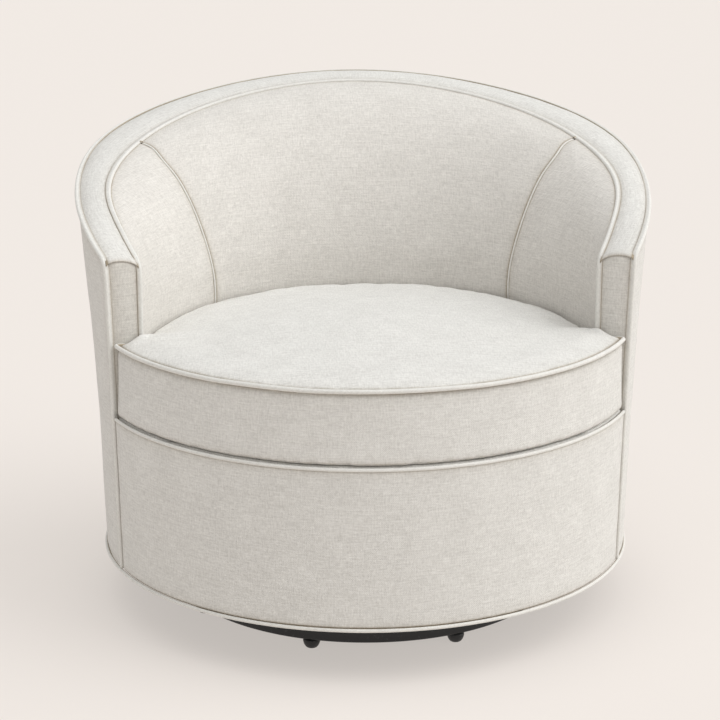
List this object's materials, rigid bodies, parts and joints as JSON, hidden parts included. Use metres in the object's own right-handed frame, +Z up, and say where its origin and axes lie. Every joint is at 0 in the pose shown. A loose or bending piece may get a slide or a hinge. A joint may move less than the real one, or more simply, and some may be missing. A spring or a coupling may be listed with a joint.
{
  "type": "swivel barrel chair",
  "caption": "Upholstered swivel barrel chair: a drum base and wrap-round back and arms with welted seams, a loose crowned seat cushion and a steel ring swivel base.",
  "frame": {"origin": "on the floor, at the middle of the whole chair's outline seen from above; the swivel axis is 29.5 mm in front of it", "axes": "+Z up, -Y the way the sitter faces, +X to the sitter's left"},
  "size_m": [0.8702, 0.8692, 0.7272],
  "materials": {
    "black_steel": "satin",
    "zinc_steel": "satin",
    "bright_steel": "polished",
    "black_plastic": "matte",
    "nylon": "satin",
    "frame_wood": "matte",
    "bent_board": "matte",
    "lining": "matte",
    "foam": "matte",
    "cream_linen": "matte",
    "cream_piping": "matte",
    "zip_tape": "matte"
  },
  "bodies": {
    "swivel_base": {"base_ring": "black_steel", "cross_arm_long": "black_steel", "cross_arm_short": "black_steel", "lower_swivel_plate": "black_steel", "lower_race": "zinc_steel", "king_bolt": "zinc_steel", "king_washer": "zinc_steel", "king_nut": "zinc_steel", "plate_bolts_lower": "zinc_steel", "plate_nuts_lower": "zinc_steel", "glides": "black_plastic", "glide_studs": "zinc_steel"},
    "bearing_cage": {"ball_cage": "zinc_steel", "bearing_balls": "bright_steel"},
    "chair": {"arm_front_cover_left": "cream_linen", "arm_front_cover_right": "cream_linen", "arm_front_pad_left": "foam", "arm_front_pad_right": "foam", "arm_post_left": "frame_wood", "arm_post_right": "frame_wood", "back_ribs": "frame_wood", "base_front_cover": "cream_linen", "base_top_welt": "cream_piping", "bottom_ring": "frame_wood", "bottom_welt": "cream_piping", "corner_blocks": "frame_wood", "deck_cloth": "lining", "deck_pad": "foam", "drum_posts": "frame_wood", "dust_cover": "lining", "front_edge_roll": "foam", "front_panel_board": "bent_board", "inner_liner": "lining", "inner_welt": "cream_piping", "inside_arm_cover_left": "cream_linen", "inside_arm_cover_right": "cream_linen", "inside_arm_foam_left": "foam", "inside_arm_foam_right": "foam", "inside_back_cover": "cream_linen", "inside_back_foam": "foam", "outer_back_board": "bent_board", "outer_back_cover": "cream_linen", "outer_welt": "cream_piping", "pivot_bush": "nylon", "plate_bolts_upper": "zinc_steel", "rim_band_cover": "cream_linen", "rim_padding": "foam", "seat_frame": "frame_wood", "seat_springs": "bright_steel", "shell_batting": "foam", "spring_clips": "zinc_steel", "swivel_rails": "frame_wood", "tee_nuts": "zinc_steel", "top_rail": "frame_wood", "upper_race": "zinc_steel", "upper_swivel_plate": "zinc_steel"},
    "seat_cushion": {"cushion_core": "foam", "cushion_cover": "cream_linen", "cushion_welt": "cream_piping", "cushion_zip": "zip_tape"}
  },
  "joints": [
    {"name": "swivel", "type": "hinge", "parent": "swivel_base", "child": "chair", "pos_m": [0, -0.0295, 0.07], "axis": [0, 0, 1], "continuous": true},
    {"name": "cage_spin", "type": "hinge", "parent": "swivel_base", "child": "bearing_cage", "pos_m": [0, -0.0295, 0.07], "axis": [0, 0, 1], "continuous": true},
    {"name": "cushion_lift", "type": "slide", "parent": "chair", "child": "seat_cushion", "axis": [0, 0, 1], "range_m": [0, 0.45]}
  ],
  "couplings": [
    {"joint": "cage_spin", "follows": "swivel", "ratio": 0.5}
  ]
}
